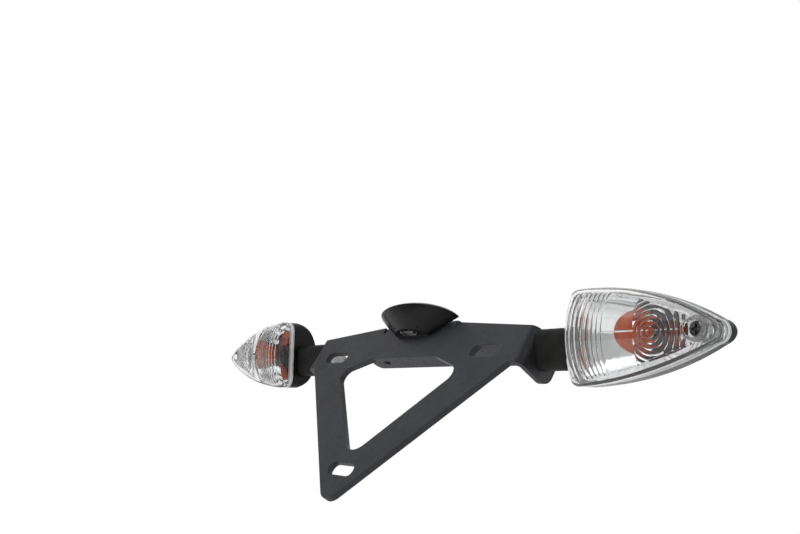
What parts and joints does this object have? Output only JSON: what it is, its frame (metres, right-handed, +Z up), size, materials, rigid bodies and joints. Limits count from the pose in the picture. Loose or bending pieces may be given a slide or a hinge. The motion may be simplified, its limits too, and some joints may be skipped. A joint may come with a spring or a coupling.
{
  "type": "tail tidy",
  "caption": "Folded triangular licence plate bracket for a motorcycle tail, with a plate light and clear-lens turn indicators on rubber stems at both sides.",
  "frame": {"origin": "midway between the two flange holes, on the upper face of the flange", "axes": "+X to the right, +Y to the front of the vehicle, +Z up, as fitted with the plate face leaning 33 degrees"},
  "size_m": [0.364, 0.0856, 0.0946],
  "materials": {
    "bracket": "satin black powder coat on steel sheet",
    "pad": "matt foam rubber",
    "black_shell": "moulded black plastic",
    "clear_window": "clear plastic",
    "board": "circuit board",
    "led": "light emitting chip",
    "zinc": "zinc plated",
    "screw": "plated",
    "reflector": "bright vacuum plated plastic",
    "socket": "moulded",
    "cap": "bayonet cap",
    "amber_bulb": "amber coated glass",
    "seal": "pale translucent silicone",
    "clear_lens": "clear moulded plastic",
    "stem": "matt moulded rubber"
  },
  "bodies": {
    "root": {"plate_bracket": "bracket", "light_pad": "pad", "light_housing": "black_shell", "light_lens": "clear_window", "light_board": "board", "light_leds": "led", "light_washers": "zinc", "light_screws": "zinc", "lens_screws": "screw", "ear_bolts": "zinc", "ear_washers": "zinc", "right_housing": "black_shell", "right_reflector": "reflector", "right_bulb_holder": "socket", "right_bulb_cap": "cap", "right_bulb_glass": "amber_bulb", "right_lens_seal": "seal", "right_lens": "clear_lens", "right_stem": "stem", "right_stem_core": "zinc", "left_housing": "black_shell", "left_reflector": "reflector", "left_bulb_holder": "socket", "left_bulb_cap": "cap", "left_bulb_glass": "amber_bulb", "left_lens_seal": "seal", "left_lens": "clear_lens", "left_stem": "stem", "left_stem_core": "zinc"}
  },
  "joints": []
}
